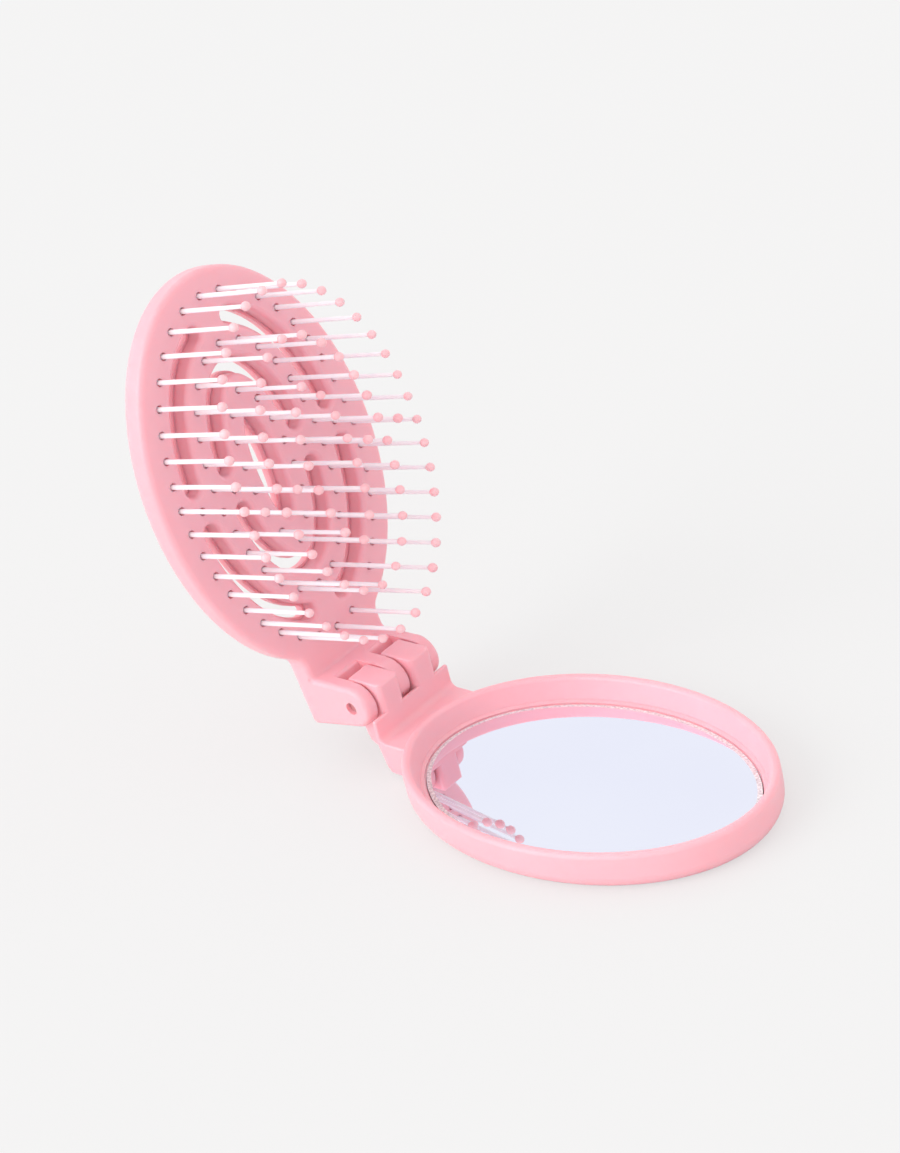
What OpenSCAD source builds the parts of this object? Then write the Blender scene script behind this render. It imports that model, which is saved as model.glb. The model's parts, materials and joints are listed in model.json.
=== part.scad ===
// Folding hairbrush with mirror.
// Millimetres, +Z up. The mirror half lies flat and the brush half stands open over its hinge.
// The origin is the middle of the mirror half's flat underside; +X runs from the hinge to the mirror,
// and the hinge axis is parallel to Y. The brush half is drawn in a frame of its own, in which the
// face is the plane X = 0 looking along +X, the long way is Z, and the middle of the oval is the origin.

/* [Mirror glass] */
// Thickness of the glass
glass_t = 1.6; // [1.2:0.1:2]
// Width of the bevel round the glass
glass_bevel_w = 0.9; // [0.5:0.1:2]
// Drop of the bevel at the glass edge
glass_bevel_drop = 0.35; // [0.2:0.05:0.6]
// Thickness of the adhesive pad under the glass
pad_t = 0.3; // [0.2:0.1:0.5]

/* [Mirror shell] */
// How far the brush's oval is longer than the shell, at each end
over_l = 0.55; // [0:0.05:1.5]
// How far the brush's oval is wider than the shell, at each side
over_w = 0.25; // [0:0.05:1.5]
// Floor under the adhesive pad
floor_t = 1.4; // [1:0.1:2]
// Height of the rim above the glass
rim_rise = 5.2; // [4.6:0.1:7]
// Width of the shell outside the glass edge
rim_w = 4.25; // [3.8:0.05:6]
// Thickness of the rim at its top
rim_top_t = 2.1; // [1.5:0.1:2.4]
// Width of the step between the glass and the rim
lip_w = 1.15; // [0.9:0.05:1.4]
// Height of that step
lip_rise = 0.45; // [0.3:0.05:0.8]
// Rounding of the lower edge, along the table
foot_round = 3.6; // [2:0.1:4]

/* [Brush half] */
// Half the length of the brush's oval
brush_half_l = 43; // [36:0.1:50]
// Half the width of the brush's oval
brush_half_w = 29.5; // [26:0.1:36]
// Thickness of the brush half
brush_t = 6.1; // [5.6:0.1:6.1]
// Thickness of the face
face_t = 2; // [1.6:0.1:2.2]
// Thickness of the back cover
cover_t = 2; // [1.4:0.1:2.2]
// Thickness of the elastic pad that holds the pins
cushion_t = 1.3; // [1:0.1:1.4]
// Width of the rim round the back cover
back_rim_w = 2.7; // [2.4:0.1:3]
// Width of the ledge that the back cover rests on
ledge_w = 0.9; // [0.6:0.1:1.1]
// Rounding of the edge round the face
front_round = 1.3; // [0.8:0.1:2]
// Rounding of the edge round the back
back_round = 2.2; // [1.5:0.1:2.3]

/* [Vents] */
// Width of a vent
vent_w = 3.6; // [3:0.1:4]
// Half the width of the bridges between two vents
bridge_half = 3.2; // [3:0.1:3.6]
// Half the length of the middle vent
mid_vent_half_l = 12; // [8:0.1:12.5]
// Half the width of the middle vent
mid_vent_half_w = 3; // [2.5:0.1:3.2]
// Wall of the collar round each vent, inside
collar_t = 0.8; // [0.6:0.1:1]

/* [Pins] */
// Pins in the outer row
outer_count = 38; // [30:2:40]
// Pins in the middle row
middle_count = 26; // [20:2:28]
// Pins in the inner row
inner_count = 14; // [10:2:14]
// Distance from the edge of the oval to the outer row
outer_inset = 5; // [4.9:0.05:5.2]
// Distance from the middle vent to the inner row, at its sides
inner_gap_w = 2.9; // [2.7:0.1:3.6]
// Distance from the middle vent to the inner row, at its ends
inner_gap_l = 5.2; // [3:0.1:6]
// Diameter of a pin at the face
pin_d = 1.05; // [0.9:0.05:1.2]
// Diameter of a pin at its tip
pin_end_d = 0.85; // [0.7:0.05:0.9]
// Diameter of a pin's foot behind the pad
foot_d = 2.2; // [1.8:0.1:2.4]
// Diameter of the hole that a pin stands in
pin_hole_d = 2; // [1.8:0.1:2.4]
// Diameter of a ball tip
tip_d = 1.9; // [1.6:0.05:2]
// Length of a ball tip
tip_l = 2.3; // [1.8:0.05:2.6]
// Gap between the ball tips and the glass when folded
tip_gap = 0.35; // [0.35:0.05:1]

/* [Hinge] */
// Distance from the end of the mirror shell's oval to the hinge axis
hinge_out = 8.75; // [8.5:0.05:12]
// Height of the hinge axis above the table
pivot_z = 15.2; // [14.8:0.1:17]
// Radius of the knuckles and ears
knuckle_r = 4.75; // [4.4:0.05:5]
// Diameter of the hinge pin
hinge_pin_d = 2.8; // [2.2:0.1:3.4]
// Depth of the pin's ends inside the ears
pin_recess = 1; // [0.5:0.1:2]
// Half the width of the middle knuckle
mid_knuckle_half = 1.65; // [1.5:0.05:2.5]
// Width of each knuckle of the mirror half
knuckle_w = 6.1; // [5:0.1:7]
// Width of each ear of the brush half
ear_w = 3.1; // [2.6:0.1:4]
// How much higher the ears' block stands at the face than over the axis
ear_rise = 1.5; // [0.5:0.1:2]
// Thickness of the wall between the mirror half's knuckles, at its top
wall_t = 1; // [1:0.1:2]
// Distance from the hinge axis down to the top of that wall
wall_drop = 1.9; // [1:0.1:4]
// Height of the knee in the back of that wall
knee_z = 7; // [5:0.1:8]
// Height of the underside of the neck where it meets the shell
under_z = 1; // [0.8:0.1:2]
// Distance from the hinge axis to the back of each knuckle's leg
leg_back = 1.75; // [1:0.05:2.5]
// Height of the heel of each leg
heel_z = 5; // [4:0.1:6]
// Rounding of the front edges of each leg
leg_round = 1.3; // [0.5:0.1:1.5]
// Chamfer of the block behind each leg's knuckle
web_chamfer = 1; // [0.3:0.1:1.5]
// Angle between the two halves as they stand
open_angle = 100; // [0:1:180]

/* [Clearances] */
// Gap between knuckles, along the axis
side_gap = 0.4; // [0.3:0.05:0.6]
// Gap between the halves round the knuckles
swing_gap = 0.35; // [0.3:0.05:0.5]
// Gap round the hinge pin where it turns
run_gap = 0.05; // [0.02:0.01:0.1]
// Gap round the hinge pin where it is held, and round pins in their pad
hold_gap = 0.02; // [0.01:0.01:0.03]
// Gap round inner pieces that drop into place
drop_gap = 0.12; // [0.05:0.01:0.2]

/* [Hidden] */

shell_half_l = brush_half_l - over_l;
shell_half_w = brush_half_w - over_w;
glass_half_l = shell_half_l - rim_w;
glass_half_w = shell_half_w - rim_w;
reach = shell_half_l + hinge_out;             // from the axis to the middle of the glass
brush_reach = brush_half_l + hinge_out - 2 * over_l;   // to the middle of the brush: their far ends are flush

pink = [0.98, 0.72, 0.75];
white = [0.95, 0.93, 0.98];
silver = [0.80, 0.82, 0.86];
grey = [0.55, 0.55, 0.57];
thin = 0.02;            // a slice that stands for an outline inside a hull
oval_n = 96;            // sides of an oval
arc_n = 48;             // sides of a round hole or knuckle

// Levels of the mirror half, up from the table
pad_z = floor_t;
glass_z = pad_z + pad_t;
glass_top = glass_z + glass_t;
rim_top = glass_top + rim_rise;
lip_top = glass_top + lip_rise;

// Levels of the brush half, out from its face
cover_in = cover_t - brush_t;         // inner side of the back cover
cushion_back = -face_t - cushion_t;   // side of the pad that the feet press on
foot_back = cover_in + drop_gap;      // underside of the feet
flat_gap = 0.07;                      // from the table to the brush half's back when it is opened flat
pivot_h = pivot_z - brush_t - flat_gap;           // hinge axis in front of the face
pin_gap_closed = pivot_z + pivot_h - glass_top;   // from the face to the glass when folded
tip_end = pin_gap_closed - tip_gap;
tip_mid = tip_end - tip_l / 2;
socket_in = 0.3;                      // depth inside the ball tip where a pin's shaft turns straight

// Hinge
tilt = open_angle - 90;
knuckle_in = mid_knuckle_half + side_gap;
knuckle_out = knuckle_in + knuckle_w;
ear_in = knuckle_out + side_gap;
neck_half = ear_in + ear_w;
wall_back = -reach + knuckle_r + swing_gap;
wall_front = wall_back + wall_t;
web_end = pivot_h - knuckle_r - swing_gap;
notch_gap = 0.75;       // from the legs' backs to the block when the brush is opened flat
notch_v = leg_back + notch_gap;
wall_top = pivot_z - wall_drop;
leg_top = pivot_z + knuckle_r;
weld = 0.4;             // how far joined forms reach into each other
past = 1;               // how far cutting forms reach out of what they cut
neck_round = 1.4;       // fillet and lower rounding where the neck meets the shell
neck_bend = 1;          // the neck's underside bends this far in front of the wall
heel_bevel = [0.8, 2.8];    // bevel at the back of a leg's heel: [forward, up]
sole_bend = [1.3, 1.5];     // bend of a leg's underside: [in front of the axis, below the heel]
sole_drop = 2;          // fall of a leg's underside from the heel to the wall
leg_top_round = 1;      // rounding of a leg's top, above the wall
block_round = 2;        // rounding of the block with the ears at its free end
root_in = 5;            // how far the neck reaches into the brush's oval
neck_low = -brush_reach - knuckle_r;      // ends of the block with the ears, along the brush
neck_high = -brush_reach + knuckle_r;
neck_root = root_in - brush_half_l;
// Top of the block with the ears, at a height h over the face
function block_top(h) = neck_high + ear_rise * (1 - h / pivot_h);

// Points of an oval with half axes a and b, moved out by d along its normals
function oval(a, b, d = 0, n = oval_n) = [for (i = [0:n - 1]) oval_point(a, b, d, 360 * i / n)];
function oval_point(a, b, d, t) =
    let (s = norm([b * cos(t), a * sin(t)]))
    [a * cos(t) + d * b * cos(t) / s, b * sin(t) + d * a * sin(t) / s];

// Angles of count points that divide an oval into equal lengths, counted from its +y end
function run_table(a, b) =
    [for (i = 0, s = 0; i <= 360;
          s = s + norm(oval_point(a, b, 0, 91 + i) - oval_point(a, b, 0, 90 + i)), i = i + 1) [s, 90 + i]];
function even_points(a, b, count) =
    let (table = run_table(a, b), total = table[360][0])
    [for (k = [0:count - 1]) oval_point(a, b, 0, lookup(k * total / count, table))];

// Rows and vents follow five ovals, evenly spread from the inner row, 0, to the outer row, 4
inner_vent = 1;
outer_vent = 3;
function ring_a(k) = (1 - k / 4) * (mid_vent_half_w + inner_gap_w) + k / 4 * (brush_half_w - outer_inset);
function ring_b(k) = (1 - k / 4) * (mid_vent_half_l + inner_gap_l) + k / 4 * (brush_half_l - outer_inset);

// Places of the pins on the face: [across, along]
outer_pins = even_points(ring_a(4), ring_b(4), outer_count);
middle_pins = even_points(ring_a(2), ring_b(2), middle_count);
inner_pins = even_points(ring_a(0), ring_b(0), inner_count);
side_pins = [for (s = [-1, 1], k = [outer_vent, inner_vent]) [s * ring_a(k), 0]];

// A closed form through ovals: each level is [height, offset], from the first cap to the last
module loft(a, b, levels) {
    rings = [for (level = levels) [for (p = oval(a, b, level[1])) [p[0], p[1], level[0]]]];
    points = [for (ring = rings) for (p = ring) p];
    last = (len(levels) - 1) * oval_n;
    sides = [for (k = [0:len(levels) - 2], i = [0:oval_n - 1])
        let (j = (i + 1) % oval_n, low = k * oval_n, high = low + oval_n)
        each [[low + i, high + i, high + j], [low + i, high + j, low + j]]];
    polyhedron(points, concat([[for (i = [0:oval_n - 1]) i]], sides,
                              [[for (i = [oval_n - 1:-1:0]) last + i]]));
}

// ---- placing ----

// Draws the brush half's own frame, standing open at the hinge
module stand() {
    translate([-reach, 0, pivot_z]) rotate([0, -tilt, 0]) translate([-pivot_h, 0, brush_reach]) children();
}

// Extrudes a face outline [across, along] from depth h0 to h1
module on_face(h0, h1) {
    translate([h0, 0, 0]) rotate([90, 0, 90]) linear_extrude(h1 - h0) children();
}

// Extrudes a side outline [forward, up] from y0 to y1
module along_y(y0, y1) {
    translate([0, y1, 0]) rotate([90, 0, 0]) linear_extrude(y1 - y0) children();
}

// Same, on both sides of the middle plane
module both_sides(y0, y1) {
    along_y(y0, y1) children();
    along_y(-y1, -y0) children();
}

// What is left of a corner square outside its rounding
module corner(r, x_dir = 1, y_dir = 1) {
    scale_x = x_dir < 0 ? 1 : 0;
    scale_y = y_dir < 0 ? 1 : 0;
    mirror([scale_x, 0]) mirror([0, scale_y]) difference() {
        translate([-thin, -thin]) square(r + thin);
        translate([r, r]) circle(r, $fn = arc_n);
    }
}

// ---- mirror half ----

// Outer form of the mirror shell: a dish with a soft lower edge and a round rim
module lid_form() {
    edge_r = rim_top_t / 2;
    loft(glass_half_l, glass_half_w, concat(
        [for (t = [90:-15:0]) [foot_round * (1 - sin(t)), rim_w - foot_round * (1 - cos(t))]],
        [for (t = [0:22.5:90]) [rim_top - edge_r * (1 - sin(t)), rim_w - edge_r * (1 - cos(t))]]));
}

// Space inside the rim: the glass pocket, the step round it, the sloping wall and the rim's inner rounding
module lid_recess() {
    edge_r = rim_top_t / 2;
    wall_in = rim_w - rim_top_t;
    loft(glass_half_l, glass_half_w, concat(
        [[pad_z, drop_gap], [glass_top, drop_gap], [lip_top, lip_w]],
        [for (t = [0:22.5:67.5]) [rim_top - edge_r * (1 - sin(t)), wall_in + edge_r * (1 - cos(t))]],
        [[rim_top + past, wall_in + edge_r]]));
}

// Side outline of the wall behind the mirror, up to the given height
module wall_outline(top) {
    inner = -glass_half_l + weld;
    seat = rim_top - weld;
    difference() {
        union() {
            polygon([[wall_front, top], [wall_back, top], [wall_back, knee_z],
                     [wall_front, under_z + neck_round], [wall_front + neck_bend, under_z],
                     [inner, under_z - weld], [inner, seat], [wall_front, seat]]);
            translate([wall_front, seat]) corner(neck_round);
        }
        translate([wall_front, top]) corner(wall_t / 2, -1, -1);
        translate([wall_back, top]) corner(wall_t / 3, 1, -1);
    }
}

// Side outline of a leg with its knuckle
module leg_outline() {
    back = -reach - leg_back;
    difference() {
        union() {
            wall_outline(leg_top - weld);
            translate([-reach, pivot_z]) circle(knuckle_r, $fn = arc_n);
            polygon([[-reach, leg_top], [back, pivot_z], [back, heel_z + heel_bevel[1]],
                     [back + heel_bevel[0], heel_z], [-reach + sole_bend[0], heel_z - sole_bend[1]],
                     [wall_front, heel_z - sole_drop], [wall_front, leg_top]]);
        }
        translate([wall_front, leg_top]) corner(leg_top_round, -1, -1);
    }
}

// What is cut away to round a leg's upright front edges, above the wall
module leg_edges() {
    for (s = [-1, 1], edge = [[knuckle_in, s], [knuckle_out, -s]])
        translate([wall_front, s * edge[0], wall_top]) linear_extrude(knuckle_r + wall_drop + past)
            corner(leg_round, -1, edge[1]);
}

module mirror_shell() {
    color(pink) difference() {
        union() {
            lid_form();
            along_y(-neck_half, neck_half) wall_outline(wall_top);
            both_sides(knuckle_in, knuckle_out) leg_outline();
        }
        leg_edges();
        lid_recess();
        translate([-reach, 0, pivot_z]) rotate([90, 0, 0])
            cylinder(h = 2 * (neck_half + past), d = hinge_pin_d + 2 * run_gap, center = true, $fn = arc_n);
    }
}

module mirror_pad() {
    color(grey) translate([0, 0, pad_z]) linear_extrude(pad_t)
        polygon(oval(glass_half_l, glass_half_w, -1));
}

module mirror_glass() {
    color(silver) hull() {
        translate([0, 0, glass_z]) linear_extrude(glass_t - glass_bevel_drop)
            polygon(oval(glass_half_l, glass_half_w));
        translate([0, 0, glass_top - thin]) linear_extrude(thin)
            polygon(oval(glass_half_l, glass_half_w, -glass_bevel_w));
    }
}

// ---- brush half, drawn in its own frame ----

// Outer form of the brush's oval: a tight front edge and a rounder back edge
module brush_form() {
    rotate([90, 0, 90]) loft(brush_half_w, brush_half_l, concat(
        [for (t = [90:-22.5:0]) [back_round * (1 - sin(t)) - brush_t, back_round * (cos(t) - 1)]],
        [for (t = [0:30:90]) [front_round * (sin(t) - 1), front_round * (cos(t) - 1)]]));
}

// Side outline [out from the face, along] of the neck where it carries an ear or the middle knuckle
module ear_outline() {
    difference() {
        union() {
            polygon([[-brush_t, neck_low], [pivot_h, neck_low], [pivot_h, neck_high], [0, block_top(0)],
                     [0, neck_root], [-brush_t, neck_root]]);
            translate([pivot_h, -brush_reach]) circle(knuckle_r, $fn = arc_n);
        }
        translate([-brush_t, neck_low]) corner(block_round);
    }
}

// The same where a knuckle of the mirror half turns
module web_outline() {
    low = -brush_reach + notch_v;
    edge = web_end - web_chamfer;
    polygon([[-brush_t, low], [web_end, low], [web_end, block_top(web_end) - web_chamfer],
             [edge, block_top(edge)], [0, block_top(0)], [0, neck_root], [-brush_t, neck_root]]);
}

// One vent along an oval from angle t0 to t1, its outline grown by grow
module vent(a, b, t0, t1, grow) {
    half = vent_w / 2 + grow;
    steps = 24;
    inner_edge = [for (i = [0:steps]) oval_point(a, b, -half, t0 + (t1 - t0) * i / steps)];
    outer_edge = [for (i = [steps:-1:0]) oval_point(a, b, half, t0 + (t1 - t0) * i / steps)];
    polygon(concat(inner_edge, outer_edge));
    for (t = [t0, t1]) translate(oval_point(a, b, 0, t)) circle(half, $fn = arc_n);
}

// All vents, grown by grow
module vents(grow = 0) {
    end_at = bridge_half + vent_w / 2;
    a = ring_a(outer_vent);
    b = ring_b(outer_vent);
    inner_t = asin(end_at / ring_b(inner_vent));
    for (mx = [0, 1], my = [0, 1]) mirror([mx, 0]) mirror([0, my])
        vent(a, b, asin(end_at / b), acos(end_at / a), grow);
    for (my = [0, 1]) mirror([0, my])
        vent(ring_a(inner_vent), ring_b(inner_vent), inner_t, 180 - inner_t, grow);
    polygon(oval(mid_vent_half_w, mid_vent_half_l, grow));
}

all_pins = concat(outer_pins, middle_pins, inner_pins, side_pins);

module brush_body() {
    color(pink) stand() difference() {
        union() {
            brush_form();
            along_y(-mid_knuckle_half, mid_knuckle_half) ear_outline();
            both_sides(mid_knuckle_half, ear_in) web_outline();
            both_sides(ear_in, neck_half) ear_outline();
        }
        // room for the pad, with the collars of the vents left standing
        difference() {
            on_face(cover_in, -face_t) polygon(oval(brush_half_w, brush_half_l, -back_rim_w - ledge_w));
            on_face(cover_in - thin, -face_t + thin) vents(collar_t);
        }
        on_face(-brush_t - past, cover_in) polygon(oval(brush_half_w, brush_half_l, -back_rim_w));
        on_face(-brush_t - past, past) vents();
        on_face(-face_t - thin, past) for (p = all_pins) translate(p) circle(d = pin_hole_d, $fn = 24);
        translate([pivot_h, 0, -brush_reach]) rotate([90, 0, 0])
            cylinder(h = 2 * (neck_half + past), d = hinge_pin_d + 2 * hold_gap, center = true, $fn = arc_n);
    }
}

module back_cover() {
    color(pink) stand() on_face(-brush_t, cover_in) difference() {
        polygon(oval(brush_half_w, brush_half_l, -back_rim_w - drop_gap));
        vents();
    }
}

module cushion_pad() {
    color(grey) stand() on_face(cushion_back, -face_t) difference() {
        polygon(oval(brush_half_w, brush_half_l, -back_rim_w - ledge_w - drop_gap));
        vents(collar_t + drop_gap);
        for (p = all_pins) translate(p) circle(d = pin_d + 2 * hold_gap, $fn = 24);
    }
}

// A nylon pin: foot, straight root through the pad, and a shaft that narrows to its tip
module pin() {
    socket = tip_mid - tip_l / 2 + socket_in;
    rotate([0, 90, 0]) rotate_extrude($fn = 24)
        polygon([[0, foot_back], [foot_d / 2, foot_back], [foot_d / 2, cushion_back], [pin_d / 2, cushion_back],
                 [pin_d / 2, 0], [pin_end_d / 2, socket], [pin_end_d / 2, tip_mid], [0, tip_mid]]);
}

// A ball tip with the socket that it grips its pin by
module tip() {
    start = asin(pin_end_d / tip_d);
    rotate([0, 90, 0]) rotate_extrude($fn = 24)
        polygon(concat([[0, tip_mid + tip_l / 2]],
                       [for (i = [1:9]) let (t = i * (180 - start) / 9)
                           [tip_d / 2 * sin(t), tip_mid + tip_l / 2 * cos(t)]],
                       [[pin_end_d / 2, tip_mid], [0, tip_mid]]));
}

module at_pins(places) {
    for (p = places) translate([0, p[0], p[1]]) children();
}

module pins_outer() { color(white) stand() at_pins(outer_pins) pin(); }
module pins_middle() { color(white) stand() at_pins(middle_pins) pin(); }
module pins_inner() { color(white) stand() at_pins(inner_pins) pin(); }
module pins_side() { color(white) stand() at_pins(side_pins) pin(); }
module tips_outer() { color(pink) stand() at_pins(outer_pins) tip(); }
module tips_middle() { color(pink) stand() at_pins(middle_pins) tip(); }
module tips_inner() { color(pink) stand() at_pins(inner_pins) tip(); }
module tips_side() { color(pink) stand() at_pins(side_pins) tip(); }

module hinge_pin() {
    color(silver) translate([-reach, 0, pivot_z]) rotate([90, 0, 0])
        cylinder(h = 2 * (neck_half - pin_recess), d = hinge_pin_d, center = true, $fn = arc_n);
}

mirror_shell();
mirror_pad();
mirror_glass();
brush_body();
back_cover();
cushion_pad();
pins_outer();
pins_middle();
pins_inner();
pins_side();
tips_outer();
tips_middle();
tips_inner();
tips_side();
hinge_pin();
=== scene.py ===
# %% [markdown]
# # A folding hairbrush with a mirror
# This lesson dresses a pocket hairbrush. The real object is two pink mouldings joined by one hinge: an
# oval tray that holds a mirror, and an oval vented plate that 82 ball-tipped nylon pins stand in. The
# construction model is loaded first, because it says where everything is; each visible piece is then
# modelled again with the soft edges that a moulding has, and takes the place of its plain solid.

# %% Load the frame
import json
import math

import bmesh
import bpy
from mathutils import Matrix, Vector


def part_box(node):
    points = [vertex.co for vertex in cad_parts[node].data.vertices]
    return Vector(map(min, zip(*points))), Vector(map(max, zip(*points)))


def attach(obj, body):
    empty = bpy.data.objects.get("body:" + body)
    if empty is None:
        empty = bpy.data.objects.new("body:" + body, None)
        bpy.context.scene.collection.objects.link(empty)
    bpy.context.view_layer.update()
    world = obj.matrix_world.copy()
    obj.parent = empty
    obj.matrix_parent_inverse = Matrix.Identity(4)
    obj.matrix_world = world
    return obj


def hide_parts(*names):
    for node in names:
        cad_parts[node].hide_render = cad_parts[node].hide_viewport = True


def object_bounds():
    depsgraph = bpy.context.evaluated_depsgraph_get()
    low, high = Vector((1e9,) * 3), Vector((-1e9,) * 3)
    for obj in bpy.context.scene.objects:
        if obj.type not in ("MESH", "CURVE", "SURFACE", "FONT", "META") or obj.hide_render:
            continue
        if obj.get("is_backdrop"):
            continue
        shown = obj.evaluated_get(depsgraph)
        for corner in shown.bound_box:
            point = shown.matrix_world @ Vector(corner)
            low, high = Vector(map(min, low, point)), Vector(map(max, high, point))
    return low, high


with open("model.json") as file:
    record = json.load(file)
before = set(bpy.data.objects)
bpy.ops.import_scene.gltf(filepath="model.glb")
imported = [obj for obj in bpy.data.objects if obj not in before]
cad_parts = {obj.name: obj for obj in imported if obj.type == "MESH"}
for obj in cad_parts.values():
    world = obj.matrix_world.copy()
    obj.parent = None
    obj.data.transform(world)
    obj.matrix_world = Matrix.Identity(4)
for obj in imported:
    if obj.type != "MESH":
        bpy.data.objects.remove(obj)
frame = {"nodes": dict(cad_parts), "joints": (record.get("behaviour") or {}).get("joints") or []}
cad_low, cad_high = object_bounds()
print("nodes in the frame:", len(frame["nodes"]))

# %% [markdown]
# ## Sizes
# A maker works from a few driving sizes. The hinge axis and the glass are measured on the loaded
# frame, and the rest are written once, in metres. The mirror half lies flat, with its origin under the
# middle of the glass. The brush half is easier to model lying down, so it has a frame of its own: x
# across the face, y along it and z out of it. STAND is the matrix that sets it up on the hinge.

# %% Name the sizes
MM = 0.001
OPEN_TILT = math.radians(10)        # how far the standing brush half leans back
OVAL_SHIFT = 0.55 * MM              # the brush's oval is longer, so its middle is nearer the hinge
FLAT_GAP = 0.07 * MM                # from the table to the brush's back when it is opened flat
PIVOT = Vector(frame["joints"][0]["pos_m"])
REACH = -PIVOT.x                    # from the hinge axis to the middle of the mirror
BRUSH_REACH = REACH - OVAL_SHIFT    # from the axis to the middle of the brush's oval
GLASS_LOW, GLASS_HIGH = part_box("mirror_glass")
GLASS_L, GLASS_W, GLASS_TOP = GLASS_HIGH.x, GLASS_HIGH.y, GLASS_HIGH.z
SHELL_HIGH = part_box("mirror_shell")[1]
RIM_W = SHELL_HIGH.x - GLASS_L      # from the glass edge to the outside of the rim
BRUSH_L, BRUSH_W, BRUSH_T = 43 * MM, 29.5 * MM, 6.1 * MM
PIVOT_H = PIVOT.z - BRUSH_T - FLAT_GAP      # height of the axis over the brush's face
KNUCKLE_R = 4.75 * MM
STAND = (
    Matrix.Translation(PIVOT)
    @ Matrix.Rotation(-OPEN_TILT, 4, "Y")
    @ Matrix(((0, 0, 1, -PIVOT_H), (1, 0, 0, 0), (0, 1, 0, BRUSH_REACH), (0, 0, 0, 1)))
)
print("hinge axis at", PIVOT[:], "glass half axes", GLASS_L, GLASS_W)

# %% [markdown]
# ## The camera
# The photograph was taken with a long lens from a little above, with the camera rolled by some 15
# degrees. It could be matched by eye, by turning a camera until it looks right, but measured angles
# and distances are exact and can be repeated. A camera is a place and three directions: to its right,
# up, and back along its own axis, which are the columns of its matrix. The lens follows from the focal
# length in pixels and the picture height.

# %% Place the camera
PICTURE_H, FOCAL_PX = 1153, 2663.72
SENSOR = 36                         # millimetres, as is usual
AZIMUTH, ELEVATION, ROLL = math.radians(47.738), math.radians(28.335), math.radians(-14.553)
DISTANCE, AIM_RIGHT, AIM_UP, AIM_Z = 526.6 * MM, -16.584 * MM, 46.016 * MM, 3.3 * MM

back = Vector((math.sin(AZIMUTH) * math.cos(ELEVATION), -math.cos(AZIMUTH) * math.cos(ELEVATION),
               math.sin(ELEVATION)))
level = Vector((math.cos(AZIMUTH), math.sin(AZIMUTH), 0))
steep = back.cross(level)           # up in the picture, before the roll
place = DISTANCE * back + AIM_RIGHT * level + AIM_UP * steep + Vector((0, 0, AIM_Z))
right = math.cos(ROLL) * level + math.sin(ROLL) * steep
up = math.cos(ROLL) * steep - math.sin(ROLL) * level
bpy.ops.object.select_all(action="DESELECT")
bpy.ops.object.camera_add(location=place)
camera = bpy.context.active_object
camera.matrix_world = Matrix((
    (right.x, up.x, back.x, place.x), (right.y, up.y, back.y, place.y),
    (right.z, up.z, back.z, place.z), (0, 0, 0, 1)))
camera.data.sensor_width = SENSOR
camera.data.lens = FOCAL_PX * SENSOR / PICTURE_H
camera.data.clip_start = 10 * MM
bpy.context.scene.camera = camera
print("lens", round(camera.data.lens, 2), "mm")

# %% [markdown]
# ## Small helpers
# Operators act on whatever is selected, so every step starts by deselecting everything. Rings of
# points are worked out by a formula, and one helper builds a closed form from a stack of them: it adds
# a circle, places its vertices on the first ring, and then extrudes the face once for each further
# ring. Modifiers are applied as soon as they are set, so that each step starts from a plain mesh.

# %% Selecting and finishing
def deselect():
    bpy.ops.object.select_all(action="DESELECT")


def activate(obj):
    """Selects obj alone and makes it the one that operators act on."""
    deselect()
    obj.select_set(True)
    bpy.context.view_layer.objects.active = obj


def edit(obj):
    activate(obj)
    bpy.ops.object.mode_set(mode="EDIT")


def pick_edges(obj, test):
    """Selects the edges of obj, which is in edit mode, that pass the test."""
    bpy.context.tool_settings.mesh_select_mode = (False, True, False)
    bpy.ops.mesh.select_all(action="DESELECT")
    mesh = bmesh.from_edit_mesh(obj.data)
    for edge in mesh.edges:
        if test(edge):
            edge.select_set(True)
    bmesh.update_edit_mesh(obj.data)


def soften(obj, width_of, widest, segments=4):
    """Rounds the edges of obj in one bevel; width_of gives the width between an edge's two points."""
    if "bevel_weight_edge" in obj.data.attributes:
        obj.data.attributes.remove(obj.data.attributes["bevel_weight_edge"])
    weights = obj.data.attributes.new("bevel_weight_edge", "FLOAT", "EDGE")
    points = [v.co for v in obj.data.vertices]
    for edge, weight in zip(obj.data.edges, weights.data):
        weight.value = width_of(*(points[i] for i in edge.vertices)) / widest
    modifier = obj.modifiers.new("soft edges", "BEVEL")
    modifier.limit_method = "WEIGHT"
    modifier.width = widest
    modifier.segments = segments
    modifier.use_clamp_overlap = False
    activate(obj)
    bpy.ops.object.modifier_apply(modifier=modifier.name)


def combine(base, other, how):
    """Adds the solid other to base, cuts it out or keeps what they share, and removes it."""
    modifier = base.modifiers.new("combine", "BOOLEAN")
    modifier.operation = how
    modifier.solver = "EXACT"
    modifier.object = other
    activate(base)
    bpy.ops.object.modifier_apply(modifier=modifier.name)
    bpy.data.objects.remove(other)


def join(pieces):
    """Makes one object of several."""
    deselect()
    for piece in pieces:
        piece.select_set(True)
    bpy.context.view_layer.objects.active = pieces[0]
    bpy.ops.object.join()
    return bpy.context.active_object


def copies(first, matrices):
    """One object made of copies of first, each moved by its matrix."""
    made = []
    for matrix in matrices:
        copy = first.copy()
        copy.data = first.data.copy()
        copy.data.transform(matrix)
        bpy.context.collection.objects.link(copy)
        made.append(copy)
    return join(made)


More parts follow.
